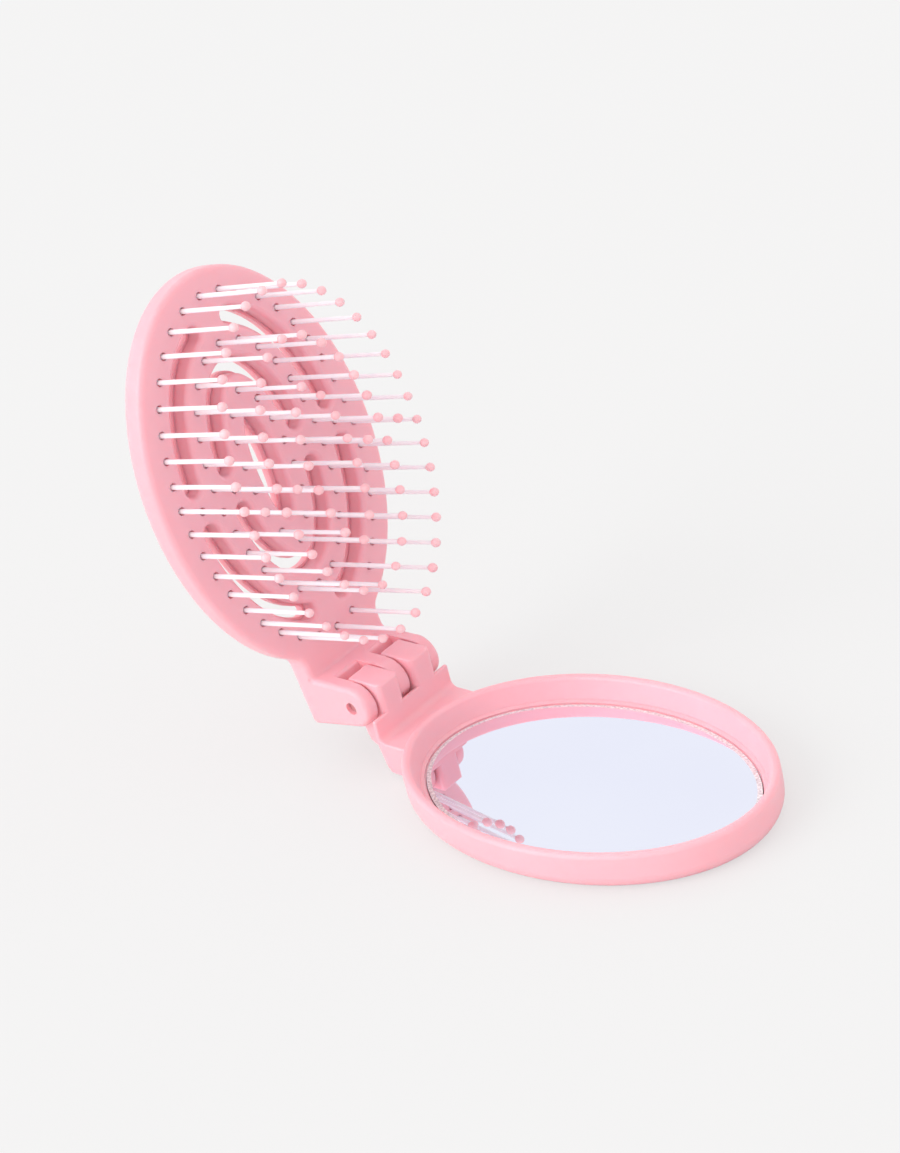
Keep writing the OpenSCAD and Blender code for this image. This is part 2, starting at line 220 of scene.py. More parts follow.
def finish_piece(obj, name, body, material, node, matrix=None, angle=40, weighted=True):
    """Sets a piece in place, shades it, gives it its material and lets it ride on its body."""
    obj.name = name
    obj.data.name = name
    activate(obj)
    if matrix is not None:
        obj.matrix_world = matrix
    bpy.ops.object.transform_apply(location=True, rotation=True, scale=True)
    bpy.ops.object.shade_smooth_by_angle(angle=math.radians(angle))
    if weighted:
        modifier = obj.modifiers.new("weighted", "WEIGHTED_NORMAL")
        modifier.keep_sharp = True
        bpy.ops.object.modifier_apply(modifier=modifier.name)
    obj.data.materials.clear()
    obj.data.materials.append(material)
    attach(obj, body)
    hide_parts(node)
    print(name, len(obj.data.polygons), "faces")


# %% Ovals and stacks of rings
OVAL_SIDES = 128
SKIN = 0.01 * MM                    # keeps two joined solids from sharing a plane


def oval_point(a, b, angle, grow=0.0):
    """A point on the oval with half axes a and b, moved out by grow along the oval's normal."""
    c, s = math.cos(angle), math.sin(angle)
    n = math.hypot(b * c, a * s)
    return Vector(((a + grow * b / n) * c, (b + grow * a / n) * s))


def oval_ring(a, b, z, grow=0.0):
    """The oval's points at height z, moved out by grow."""
    return [(*oval_point(a, b, math.tau * i / OVAL_SIDES, grow), z) for i in range(OVAL_SIDES)]


def stack(name, rings):
    """A closed form through rings of equally many points, made by extruding a circle's face."""
    deselect()
    bpy.ops.mesh.primitive_circle_add(vertices=len(rings[0]), radius=MM, fill_type="NGON")
    obj = bpy.context.active_object
    obj.name = name
    order = obj.data.attributes.new("order", "INT", "POINT")
    order.data.foreach_set("value", range(len(rings[0])))
    for vertex, point in zip(obj.data.vertices, rings[0]):
        vertex.co = point
    edit(obj)
    bpy.ops.mesh.select_all(action="SELECT")
    for ring in rings[1:]:
        bpy.ops.mesh.extrude_region_move()
        mesh = bmesh.from_edit_mesh(obj.data)
        layer = mesh.verts.layers.int["order"]
        for vertex in mesh.verts:
            if vertex.select:
                vertex.co = ring[vertex[layer]]
        bmesh.update_edit_mesh(obj.data)
    bpy.ops.mesh.select_all(action="SELECT")
    bpy.ops.mesh.normals_make_consistent(inside=False)
    bpy.ops.object.mode_set(mode="OBJECT")
    obj.data.attributes.remove(obj.data.attributes["order"])
    return obj


def round_stack(name, levels, sides):
    """A turned form: each level is (height, radius)."""
    return stack(name, [[(r * math.cos(math.tau * i / sides), r * math.sin(math.tau * i / sides), z)
                         for i in range(sides)] for z, r in levels])


def slab(name, outline, low, high, turn):
    """A flat outline, thickened from low to high; turn says where an outline point at a level lies."""
    return stack(name, [[turn(p, q, level) for p, q in outline] for level in (low, high)])


def arc(cx, cy, r, start, end, steps=6):
    """Points along a round corner, from angle start to end, in degrees."""
    angles = [math.radians(start + (end - start) * i / steps) for i in range(steps + 1)]
    return [(cx + r * math.cos(t), cy + r * math.sin(t)) for t in angles]


# %% [markdown]
# ## Materials
# The plastic is a satin ABS, dyed right through. What makes it look like plastic and not like paint is
# a little light scattered under the surface, a gloss that changes faintly from place to place, and a
# bump so fine that it only softens the highlights. The pins are milky nylon, the drops on them a
# clearer resin, and the mirror a nearly perfect reflector with a ground edge. All patterns read object
# coordinates, so they stay put when the halves fold.

# %% Nodes for the finishes
RAMP_STOPS = (0.3, 0.7)             # noise values at which the two colours of a ramp sit
BUMP_STRENGTH = 0.6


def linear(r, g, b):
    """A colour given as it shows on screen, 0 to 255, as linear light by the sRGB formula."""
    shares = (c / 255 for c in (r, g, b))
    return (*(c / 12.92 if c <= 0.04045 else ((c + 0.055) / 1.055) ** 2.4 for c in shares), 1)


def new_material(name, metallic=0.0):
    material = bpy.data.materials.new(name)
    material.use_nodes = True
    shader = material.node_tree.nodes["Principled BSDF"]
    shader.inputs["Metallic"].default_value = metallic
    return material, shader


def add_noise(material, scale, detail=3.0):
    nodes, links = material.node_tree.nodes, material.node_tree.links
    coordinates = nodes.new("ShaderNodeTexCoord")
    noise = nodes.new("ShaderNodeTexNoise")
    noise.inputs["Scale"].default_value = scale
    noise.inputs["Detail"].default_value = detail
    links.new(coordinates.outputs["Object"], noise.inputs["Vector"])
    return noise


def vary_colour(material, shader, noise, dark, light):
    """Lets the colour drift between two shades that hardly differ."""
    nodes, links = material.node_tree.nodes, material.node_tree.links
    ramp = nodes.new("ShaderNodeValToRGB")
    for stop, position, colour in zip(ramp.color_ramp.elements, RAMP_STOPS, (dark, light)):
        stop.position = position
        stop.color = colour
    links.new(noise.outputs["Fac"], ramp.inputs["Fac"])
    links.new(ramp.outputs["Color"], shader.inputs["Base Color"])


def vary_roughness(material, shader, noise, low, high):
    nodes, links = material.node_tree.nodes, material.node_tree.links
    mapped = nodes.new("ShaderNodeMapRange")
    mapped.inputs["To Min"].default_value = low
    mapped.inputs["To Max"].default_value = high
    links.new(noise.outputs["Fac"], mapped.inputs["Value"])
    links.new(mapped.outputs["Result"], shader.inputs["Roughness"])


def add_bump(material, shader, noise, distance):
    nodes, links = material.node_tree.nodes, material.node_tree.links
    bump = nodes.new("ShaderNodeBump")
    bump.inputs["Strength"].default_value = BUMP_STRENGTH
    bump.inputs["Distance"].default_value = distance
    links.new(noise.outputs["Fac"], bump.inputs["Height"])
    links.new(bump.outputs["Normal"], shader.inputs["Normal"])


def add_depth(shader, weight, radius, scale):
    """Light that scatters below the surface; radius says how far in red, green and blue."""
    shader.inputs["Subsurface Weight"].default_value = weight
    shader.inputs["Subsurface Radius"].default_value = radius
    shader.inputs["Subsurface Scale"].default_value = scale


# %% Pink plastic
def pink_plastic():
    material, shader = new_material("pink plastic")
    vary_colour(material, shader, add_noise(material, 45), linear(251, 182, 192), linear(253, 187, 197))
    vary_roughness(material, shader, add_noise(material, 160), 0.3, 0.38)
    add_bump(material, shader, add_noise(material, 5200, 2), 0.004 * MM)
    add_depth(shader, 0.6, (1.0, 0.32, 0.28), 1.6 * MM)
    return material


# %% Nylon and resin
def nylon():
    material, shader = new_material("nylon pin")
    vary_colour(material, shader, add_noise(material, 300),
                linear(243, 239, 253), linear(249, 246, 255))
    vary_roughness(material, shader, add_noise(material, 900), 0.3, 0.4)
    add_depth(shader, 0.8, (1.0, 0.95, 1.0), 1.0 * MM)
    return material


def tip_resin():
    material, shader = new_material("resin drop")
    vary_colour(material, shader, add_noise(material, 260),
                linear(252, 190, 197), linear(254, 208, 213))
    vary_roughness(material, shader, add_noise(material, 700), 0.22, 0.36)
    add_bump(material, shader, add_noise(material, 1500, 2), 0.01 * MM)
    add_depth(shader, 0.4, (1.0, 0.5, 0.5), 0.6 * MM)
    return material


# %% Mirror glass and steel
def mirror_silver():
    material, shader = new_material("mirror", metallic=1.0)
    vary_colour(material, shader, add_noise(material, 20), linear(240, 241, 252), linear(243, 244, 253))
    vary_roughness(material, shader, add_noise(material, 60), 0.0, 0.012)
    return material


def bevel_with_painted_streaks():
    material, shader = new_material("ground bevel with painted reflection streaks", metallic=0.2)
    # The grey and white streaks in the colour are painted reflection, on top of what the slope itself
    # reflects.
    vary_colour(material, shader, add_noise(material, 1900, 4),
                linear(196, 190, 196), linear(255, 255, 255))
    vary_roughness(material, shader, add_noise(material, 900), 0.12, 0.3)
    return material


def steel_with_painted_pink():
    material, shader = new_material("drawn steel with painted pink reflection", metallic=0.5)
    # The pink in the steel's colour is a painted reflection of the pink walls round the pin.
    vary_colour(material, shader, add_noise(material, 400),
                linear(206, 160, 164), linear(222, 178, 182))
    vary_roughness(material, shader, add_noise(material, 1200), 0.25, 0.4)
    return material


# %% Rubber and foam
def rubber_with_painted_shade():
    material, shader = new_material("soft rubber with painted shade")
    # The pad is rubber, and its deep rose, darker than the plastic, is painted shade for the bottoms of
    # the pin holes.
    vary_colour(material, shader, add_noise(material, 200), linear(216, 96, 118), linear(226, 108, 130))
    vary_roughness(material, shader, add_noise(material, 500), 0.6, 0.8)
    shader.inputs["Specular IOR Level"].default_value = 0.15
    add_bump(material, shader, add_noise(material, 3000), 0.02 * MM)
    return material


def foam_tape():
    material, shader = new_material("foam tape")
    vary_colour(material, shader, add_noise(material, 300), linear(60, 60, 62), linear(84, 84, 86))
    vary_roughness(material, shader, add_noise(material, 500), 0.8, 0.95)
    add_bump(material, shader, add_noise(material, 4000), 0.05 * MM)
    return material


PINK, NYLON, RESIN = pink_plastic(), nylon(), tip_resin()
MIRROR, BEVEL = mirror_silver(), bevel_with_painted_streaks()
print("materials:", [m.name for m in bpy.data.materials])

# %% [markdown]
# ## The mirror half: the tray
# The tray is one moulding. Its outside starts as a circle, stretched to an oval and extruded up, and
# two bevels make the soft lower edge and the outer half of the round rim. The space inside the rim is
# cut by a stack of ovals whose last rings flare out, which leaves the inner half of the round rim. A
# turned form, stretched to an oval, would have a thicker rim at its ends; ovals moved out along their
# normals keep the rim even.

# %% Outside of the tray
SAME = 1e-6                         # lengths that differ by less count as equal
RIM_RISE, RIM_TOP_W, FOOT_ROUND = 5.2 * MM, 2.1 * MM, 3.6 * MM
RIM_TOP = GLASS_TOP + RIM_RISE


def add_tray():
    """The outside: a stretched and extruded circle with its two edges rounded."""
    tray = stack("tray", [oval_ring(GLASS_L, GLASS_W, z, RIM_W) for z in (0, RIM_TOP)])
    edit(tray)
    for z, offset, segments in ((0, FOOT_ROUND, 9), (RIM_TOP, RIM_TOP_W / 2, 6)):
        pick_edges(tray, lambda e: all(abs(v.co.z - z) < SAME for v in e.verts))
        bpy.ops.mesh.bevel(offset=offset, offset_type="OFFSET", segments=segments, affect="EDGES")
    bpy.ops.object.mode_set(mode="OBJECT")
    return tray


# %% Space inside the rim
PAD_Z = 1.4 * MM                    # floor of the tray, that the pad lies on
SEAT_GAP = 0.12 * MM                # round the pad and the glass
GROOVE_W, GROOVE_DOWN, GROOVE_UP = 0.38 * MM, 0.3 * MM, 0.15 * MM    # beside the top of the glass
LIP_W, LIP_RISE, LIP_TURN = 1.15 * MM, 0.45 * MM, 0.3 * MM           # step from there to the rim
PAST = 1 * MM                       # how far a cutting form reaches out of what it cuts


def add_recess():
    """The space in the rim, as a solid to cut with: levels of (height, distance from the glass)."""
    wall_in, edge_r = RIM_W - RIM_TOP_W, RIM_TOP_W / 2
    lip = GLASS_TOP + LIP_RISE
    levels = [
        (PAD_Z, SEAT_GAP), (GLASS_TOP - GROOVE_DOWN - 0.1 * MM, SEAT_GAP),
        (GLASS_TOP - GROOVE_DOWN, GROOVE_W), (GLASS_TOP + GROOVE_UP, GROOVE_W),
        (lip - LIP_TURN / 5, LIP_W - LIP_TURN), (lip, LIP_W - LIP_TURN / 2),
        (lip + LIP_TURN / 10, LIP_W)]
    levels += [(RIM_TOP - edge_r + x, wall_in + edge_r - y) for y, x in arc(0, 0, edge_r, 0, 75, 8)]
    levels += [(RIM_TOP + PAST, wall_in + edge_r)]
    return stack("recess", [oval_ring(GLASS_L, GLASS_W, z, grow) for z, grow in levels])


# %% [markdown]
# ## The mirror half: wall and legs
# Behind the tray a low wall rises, and on it stand the two legs with their knuckles, which turn on
# the hinge pin. Seen from the side each of them is one outline, so each starts as that outline,
# extruded across. A leg could be rounded by one bevel, but wide bevels on its short edges would
# cross. So its sides are softened by a narrow bevel, and what it shares with an extruded plan that
# has round front corners is kept.

# %% Wall, legs and knuckles
SWING_GAP, RUN_GAP = 0.35 * MM, 0.05 * MM        # round the knuckles, and round the pin
WELD = 0.4 * MM                     # how far joined forms reach into each other
WALL_T, WALL_DROP = 1.0 * MM, 1.9 * MM           # the wall's top is this far below the axis
WALL_BACK = -REACH + KNUCKLE_R + SWING_GAP
WALL_FRONT = WALL_BACK + WALL_T
WALL_TOP = PIVOT.z - WALL_DROP
NECK_FILLET_R, NECK_UNDER, KNEE_Z = 1.5 * MM, 1.0 * MM, 7 * MM
NECK_BEND = (1.0 * MM, 1.4 * MM)    # bend of the neck's underside, in front of the wall and up
MID_HALF, KNUCKLE_IN, KNUCKLE_OUT, EAR_IN, NECK_HALF = (
    y * MM for y in (1.65, 2.05, 8.15, 8.55, 11.65))       # sides of the five knuckles
SIDE_SOFT, FRONT_SOFT, WALL_SOFT = 0.55 * MM, 1.3 * MM, 0.45 * MM


def wall_outline():
    """Side outline [x, z] of the wall behind the tray, with a fillet where it meets the rim."""
    seat, inner = RIM_TOP - WELD, -GLASS_L + WELD
    return (
        [(inner, seat)]
        + arc(WALL_FRONT + NECK_FILLET_R, seat + NECK_FILLET_R, NECK_FILLET_R, 270, 180)
        + [(WALL_FRONT, WALL_TOP), (WALL_BACK, WALL_TOP), (WALL_BACK, KNEE_Z),
           (WALL_FRONT, NECK_UNDER + NECK_BEND[1]), (WALL_FRONT + NECK_BEND[0], NECK_UNDER),
           (inner, NECK_UNDER - WELD)]
    )


print("wall from", round(WALL_BACK / MM, 2), "to", round(WALL_FRONT / MM, 2), "mm")

# %% Outline of a leg
LEG_FRONT = WALL_FRONT - SKIN
LEG_TOP = PIVOT.z + KNUCKLE_R
LEG_TOP_BACK = 2.8 * MM             # how far the flat top runs back behind the axis
LEG_BACK, LEG_TOP_ROUND, LEG_ROOT = 1.75 * MM, 1 * MM, 3 * MM
HEEL_Z = 5 * MM
HEEL_BEVEL = (0.8 * MM, 2.8 * MM)   # bevel at the back of the heel, forward and up
SOLE_BEND = (1.3 * MM, 1.5 * MM)    # bend of the underside, in front of the axis and below the heel
SOLE_DROP = 2 * MM                  # fall of the underside from the heel to the wall
KNUCKLE_END = 248                   # degrees, where the knuckle's round meets the leg's back
LEG_TOP_EDGE = ((0.3 * MM, 0), (-0.05 * MM, -0.25 * MM))   # points of its soft edge, forward and up


def leg_outline():
    """Side outline [x, z] of a leg and its knuckle."""
    back, top_end = -REACH - LEG_BACK, -REACH - LEG_TOP_BACK
    corner = math.degrees(math.atan(LEG_TOP_BACK / KNUCKLE_R))
    return (
        [(LEG_FRONT, WALL_TOP - LEG_ROOT)]
        + arc(LEG_FRONT - LEG_TOP_ROUND, LEG_TOP - LEG_TOP_ROUND, LEG_TOP_ROUND, 0, 90, 5)
        + [(top_end + x, LEG_TOP + z) for x, z in LEG_TOP_EDGE]
        + arc(-REACH, PIVOT.z, KNUCKLE_R, 90 + 2 * corner, KNUCKLE_END, 12)
        + [(back, HEEL_Z + HEEL_BEVEL[1]), (back + HEEL_BEVEL[0], HEEL_Z),
           (-REACH + SOLE_BEND[0], HEEL_Z - SOLE_BEND[1]), (LEG_FRONT, HEEL_Z - SOLE_DROP)]
    )


print("points in a leg's outline:", len(leg_outline()))

# %% Solids of the wall and the legs
PIN_R, BORE_SIDES, BORE_DEPTH = 1.4 * MM, 48, 30 * MM


def across(x, z, y):
    return (x, y, z)


def upward(x, y, z):
    return (x, y, z)


def add_wall():
    wall = slab("wall", wall_outline(), -NECK_HALF, NECK_HALF, across)

    def width(p, q):
        round_the_end = p.y == q.y and min(p.x, q.x) < -GLASS_L + 1 * MM
        return WALL_SOFT if round_the_end or min(p.z, q.z) > WALL_TOP - SKIN else 0

    soften(wall, width, WALL_SOFT, 5)
    return wall


def add_bore(gap, place, turn):
    """A cylinder to cut the hinge pin's bore with, that leaves gap round the pin."""
    deselect()
    bpy.ops.mesh.primitive_cylinder_add(
        vertices=BORE_SIDES, radius=PIN_R + gap, depth=BORE_DEPTH, location=place, rotation=turn)
    return bpy.context.active_object


def add_leg(side):
    """A leg with its knuckle: its side view, trimmed by a plan with rounded front corners."""
    low, high = sorted((side * KNUCKLE_IN, side * KNUCKLE_OUT))
    leg = slab("leg", leg_outline(), low, high, across)

    def width(p, q):
        return SIDE_SOFT if p.y == q.y and min(p.x, q.x) < WALL_FRONT - 1 * MM else 0

    soften(leg, width, SIDE_SOFT)
    behind, turn_x = -REACH - KNUCKLE_R - PAST, LEG_FRONT - FRONT_SOFT
    plan = (
        [(behind, low - PAST), (turn_x, low - PAST)]
        + arc(turn_x, low + FRONT_SOFT, FRONT_SOFT, 270, 360, 7)
        + arc(turn_x, high - FRONT_SOFT, FRONT_SOFT, 0, 90, 7)
        + [(turn_x, high + PAST), (behind, high + PAST)]
    )
    combine(leg, slab("plan", plan, 0, LEG_TOP + PAST, upward), "INTERSECT")
    combine(leg, add_bore(RUN_GAP, PIVOT, (math.pi / 2, 0, 0)), "DIFFERENCE")
    return leg


# %% Put the mirror shell together
def add_mirror_shell():
    shell = add_tray()
    combine(shell, add_wall(), "UNION")
    for side in (-1, 1):
        combine(shell, add_leg(side), "UNION")
    combine(shell, add_recess(), "DIFFERENCE")
    finish_piece(shell, "mirror_shell_moulding", "mirror_half", PINK, "mirror_shell")


add_mirror_shell()

# %% [markdown]
# ## The mirror glass
# The mirror is a thin oval of glass, and its edge is ground to a bevel. The bevel is what shows it is
# glass and not foil. It could be faked by a pale ring in the material, but a real slope catches the
# light in another way at each place, so it is modelled, and it has a rougher finish of its own, whose
# colour carries grey and white streaks of painted reflection. The shading angle is very small, to keep
# the flat glass flat.

# %% Glass with its bevel
BEVEL_W, BEVEL_DROP = 1.0 * MM, 0.12 * MM
LEVEL = 0.999                       # faces whose normals rise or fall this steeply are flat glass


def add_glass():
    glass = stack("glass", [oval_ring(GLASS_L, GLASS_W, z, grow) for z, grow in (
        (GLASS_LOW.z, 0), (GLASS_TOP - BEVEL_DROP, 0), (GLASS_TOP, -BEVEL_W))])
    finish_piece(glass, "mirror_plate", "mirror_half", MIRROR, "mirror_glass",
                 angle=2, weighted=False)
    glass.data.materials.append(BEVEL)
    for face in glass.data.polygons:
        face.material_index = 0 if abs(face.normal.z) > LEVEL else 1


add_glass()

# %% [markdown]
# ## The brush half: the plate
# The brush half is a second moulding. Its plan is an oval with a short neck, drawn as one outline with
# a fillet on each side. The rounded edges could come from bevels, but a bevel breaks down where the
# fillet curves tightly. So the plate is a stack of that outline, moved in a little further at each
# level near the front and the back.

# %% Plan of the plate
FACE_T, COVER_T, CUSHION_T = 2 * MM, 2 * MM, 1.3 * MM
FRONT_ROUND, BACK_ROUND = 1.3 * MM, 2.2 * MM
NECK_END = -BRUSH_REACH - KNUCKLE_R
NECK_FILLET, NECK_CORNER, LEAST_CORNER = 3 * MM, 1.2 * MM, 0.1 * MM
OVAL_STEPS = 52                     # of each long side of the plate
HALVINGS = 50                       # of the range in which the fillet's place is looked for


def fillet_place():
    """The middle of the fillet beside the neck, and the oval's angle where the fillet touches it."""
    middle_x = NECK_HALF + NECK_FILLET
    low, high = -math.pi / 2, 0.0
    for _ in range(HALVINGS):
        angle = (low + high) / 2
        if oval_point(BRUSH_W, BRUSH_L, angle, NECK_FILLET).x < middle_x:
            low = angle
        else:
            high = angle
    return oval_point(BRUSH_W, BRUSH_L, angle, NECK_FILLET), angle


FILLET_AT, OVAL_START = fillet_place()
print("the neck's fillet touches the oval at", round(math.degrees(OVAL_START), 1), "degrees")


def plate_ring(z, inset):
    """Outline of the face, moved in by inset: an oval that runs by a fillet into the straight neck."""
    corner = max(NECK_CORNER - inset, LEAST_CORNER)
    half, end = NECK_HALF - inset, NECK_END + inset
    touch = oval_point(BRUSH_W, BRUSH_L, OVAL_START) - FILLET_AT
    turn = math.degrees(math.atan2(touch.y, touch.x))
    span = math.pi / 2 - OVAL_START
    angles = [OVAL_START + span * i / OVAL_STEPS for i in range(1, OVAL_STEPS)]
    side = (
        arc(half - corner, end + corner, corner, 270, 360, 4)
        + arc(FILLET_AT.x, FILLET_AT.y, NECK_FILLET + inset, 180, turn, 6)
        + [tuple(oval_point(BRUSH_W, BRUSH_L, t, -inset)) for t in angles]
    )
    outline = side + [(0, BRUSH_L - inset)] + [(-x, y) for x, y in reversed(side)]
    return [(x, y, z) for x, y in outline]


def add_plate():
    """A stack of that outline, whose first and last levels round the back and the front."""
    back = [(BACK_ROUND - x - BRUSH_T, BACK_ROUND - y) for x, y in arc(0, 0, BACK_ROUND, 0, 90, 7)]
    front = [(x - FRONT_ROUND, FRONT_ROUND - y) for y, x in arc(0, 0, FRONT_ROUND, 0, 90, 5)]
    return stack("plate", [plate_ring(z, inset) for z, inset in back + front])


# %% [markdown]
# ## The vents
# The curved slots let air through and leave the bridges that the pins stand on. They follow ovals, so
# their outlines are worked out along an oval and closed with a half circle at each end. A cutter for
# each slot is a stack of its outline that flares out towards the face, so that the cut itself leaves
# the soft edge. Edges rounded afterwards would have to be found again among all the others.

# %% Outlines of the vents
VENT_W, BRIDGE_HALF, VENT_FLARE, COLLAR_T = 3.6 * MM, 3.2 * MM, 1.2 * MM, 0.8 * MM
OUTER_VENT = (19.85 * MM, 32.8 * MM)             # half axes of the oval that a vent follows
INNER_VENT = (10.55 * MM, 22.4 * MM)
MIDDLE_VENT = (3 * MM, 12 * MM)
MIDDLE_SIDES = 48
MIDDLE_SHARE = 0.8                  # how much of its tightness the middle vent is given once more


def vent_plan(a, b, start, end, grow, steps=26, cap=8):
    """Outline of one vent that follows an oval from angle start to end, with round ends."""
    half = VENT_W / 2 + grow
    angles = [start + (end - start) * i / steps for i in range(steps + 1)]
    outline = [oval_point(a, b, t, half) for t in angles]
    for t, turn in ((end, 1), (start, -1)):
        middle = oval_point(a, b, t)
        out = (oval_point(a, b, t, half) - middle) * turn
        ahead = Vector((-out.y, out.x))
        for i in range(1, cap):
            phi = math.pi * i / cap
            outline.append(middle + out * math.cos(phi) + ahead * math.sin(phi))
        if turn == 1:
            outline += [oval_point(a, b, t, -half) for t in reversed(angles)]
    return outline


def vent_plans(grow=0.0, extra=0.0):
    """The outlines of all seven vents, grown by grow; the middle one by extra less."""
    end_at = BRIDGE_HALF + VENT_W / 2
    (a, b), (c, d) = OUTER_VENT, INNER_VENT
    low, high = math.asin(end_at / b), math.acos(end_at / a)
    plans = [vent_plan(a, b, low + q * math.pi, high + q * math.pi, grow) for q in (0, 1)]
    plans += [vent_plan(a, b, math.pi * q - high, math.pi * q - low, grow) for q in (1, 2)]
    rise = math.asin(end_at / d)
    plans += [vent_plan(c, d, q * math.pi + rise, (q + 1) * math.pi - rise, grow, steps=44)
              for q in (0, 1)]
    a, b = (half + grow - extra for half in MIDDLE_VENT)
    return plans + [[oval_point(a, b, math.tau * i / MIDDLE_SIDES) for i in range(MIDDLE_SIDES)]]


print("vents:", len(vent_plans()))

# %% Cut the vents
def cut_vents(obj, low, high, flare, side, tight=0.0):
    """Cuts the vents from level low to high, tighter all round by tight.

    side is 1 where the cut flares at the top and -1 where it flares at the bottom.
    """
    face, far = (high, low) if side > 0 else (low, high)
    levels = [(far - side * PAST, -tight)]
    for y, x in arc(0, 0, flare, 0, 80, 6):
        levels.append((face - side * (flare - x), flare - y - tight))
    levels.append((face + side * PAST, flare - tight))
    rings = [[[(*p, z) for p in plan] for plan in vent_plans(grow, MIDDLE_SHARE * tight)]
             for z, grow in levels]
    combine(obj, join([stack("vent", vent) for vent in zip(*rings)]), "DIFFERENCE")


# %% [markdown]
# ## Pins in rows
# The pins stand in three oval rows, evenly spaced along each oval, and four more stand on the bridges
# at the sides. Equal angles would crowd them at the ends of the ovals, so each oval is walked in small
# steps and a place is taken whenever another share of its length is done. Round every pin the face
# has a loose hole, of which only a small well shows. So a shallow cut is enough, by a turned form that
# flares like the vents and is copied to every place.

# %% Places of the pins
WALK_STEPS = 3600


def even_points(a, b, count):
    """Points that divide an oval into equal lengths, from its +y end."""
    curve = [oval_point(a, b, math.pi / 2 + math.tau * i / WALK_STEPS) for i in range(WALK_STEPS + 1)]
    run = [0.0]
    for p, q in zip(curve, curve[1:]):
        run.append(run[-1] + (q - p).length)
    found, k = [], 0
    for n in range(count):
        while run[k + 1] < run[-1] * n / count:
            k += 1
        found.append(curve[k + 1] if n else curve[0])
    return found


ROWS = {                            # half width, half length and number of pins
    "outer": even_points(24.5 * MM, 38 * MM, 38),
    "middle": even_points(15.2 * MM, 27.6 * MM, 26),
    "inner": even_points(5.9 * MM, 17.2 * MM, 14),
    "side": [Vector((s * a, 0)) for s in (-1, 1) for a in (OUTER_VENT[0], INNER_VENT[0])],
}
ALL_PINS = [p for row in ROWS.values() for p in row]
print("pins:", len(ALL_PINS))

# %% Wells round the pins
WELL_R, WELL_FLARE, WELL_DEPTH, WELL_SIDES = 0.85 * MM, 0.1 * MM, 0.9 * MM, 20


def cut_pin_wells(obj):
    well = round_stack("well", [(z, WELL_R + grow) for z, grow in (
        (-WELL_DEPTH, 0), (-WELL_FLARE, 0), (-0.4 * WELL_FLARE, 0.25 * WELL_FLARE),
        (0, WELL_FLARE), (PAST, 2 * WELL_FLARE))], WELL_SIDES)
    wells = copies(well, [Matrix.Translation((*p, 0)) for p in ALL_PINS])
    bpy.data.objects.remove(well)
    combine(obj, wells, "DIFFERENCE")


# %% [markdown]
# ## The hinge block
# On the neck stands a block that carries the two outer ears and the middle knuckle, with a room
# between them for each leg of the mirror half. Ears and knuckle could be modelled one by one, but
# their outer edges line up, as on one block with rooms left in it. So the block is extruded across, its
# end edges are rounded, and then the rooms are cut.

# %% Outline of the block
WEB_END = PIVOT_H - KNUCKLE_R - SWING_GAP        # the block's height between the ears
WEB_SOFT, EAR_SOFT, ROOM_SOFT = 0.7 * MM, 1.2 * MM, 0.35 * MM
EAR_RISE, BLOCK_FILLET, BLOCK_ROOT = 1.5 * MM, 0.7 * MM, 3 * MM
NOTCH_V = 2.5 * MM                  # from the axis to the floor of a room, along the brush
UNDER_PLATE = -BRUSH_T - PAST


def block_top(z):
    """Where the block ends towards the face, at height z: it slopes, and is longest at its foot."""
    return -BRUSH_REACH + KNUCKLE_R + EAR_RISE * (1 - z / PIVOT_H)


def block_outline():
    """Side outline [z, y] of the block, with its fillet to the face."""
    fillet, foot = BLOCK_FILLET, block_top(0) + BLOCK_FILLET
    low_turn = 270 - math.degrees(math.atan2(EAR_RISE, PIVOT_H))
    return (
        [(-BLOCK_ROOT, NECK_END + SKIN)]
        + arc(PIVOT_H, -BRUSH_REACH, KNUCKLE_R - SKIN, -90, 90, 18)
        + arc(fillet, block_top(fillet) + fillet, fillet, low_turn, 180, 5)
        + [(-BLOCK_ROOT / 5, foot), (-BLOCK_ROOT, foot)]
    )


def room_outline():
    """Side outline [z, y] of the room that a knuckle of the mirror half turns in."""
    floor_y, end = -BRUSH_REACH + NOTCH_V, NECK_END - PAST
    over, top = block_top(0) + BLOCK_FILLET + PAST, PIVOT_H + KNUCKLE_R + PAST
    turn_z, turn_y = WEB_END - WEB_SOFT, block_top(WEB_END) - WEB_SOFT
    return (
        [(UNDER_PLATE, end), (UNDER_PLATE, floor_y), (WEB_END, floor_y)]
        + arc(turn_z, turn_y, WEB_SOFT, 0, 80, 5)
        + [(turn_z, over), (top, over), (top, end)]
    )


def outward(z, y, x):
    return (x, y, z)


print("block between the ears:", round(WEB_END / MM, 2), "mm high")

# %% Cut the rooms
def add_block():
    half = NECK_HALF - SKIN
    block = slab("block", block_outline(), -half, half, outward)

    def end_width(p, q):
        return EAR_SOFT if p.x == q.x and max(p.z, q.z) > -0.5 * MM else 0

    soften(block, end_width, EAR_SOFT, 6)
    for side in (-1, 1):
        low, high = sorted((side * MID_HALF, side * EAR_IN))
        combine(block, slab("room", room_outline(), low, high, outward), "DIFFERENCE")

    def room_width(p, q):
        across_room = abs(p.x - q.x) > SAME / 10
        on_wall = any(abs(abs(p.x) - x) < SAME for x in (MID_HALF, EAR_IN))
        above = min(p.z, q.z) > WEB_END + 0.05 * MM
        return ROOM_SOFT if on_wall and above and not across_room else 0

    soften(block, room_width, ROOM_SOFT, 3)
    return block


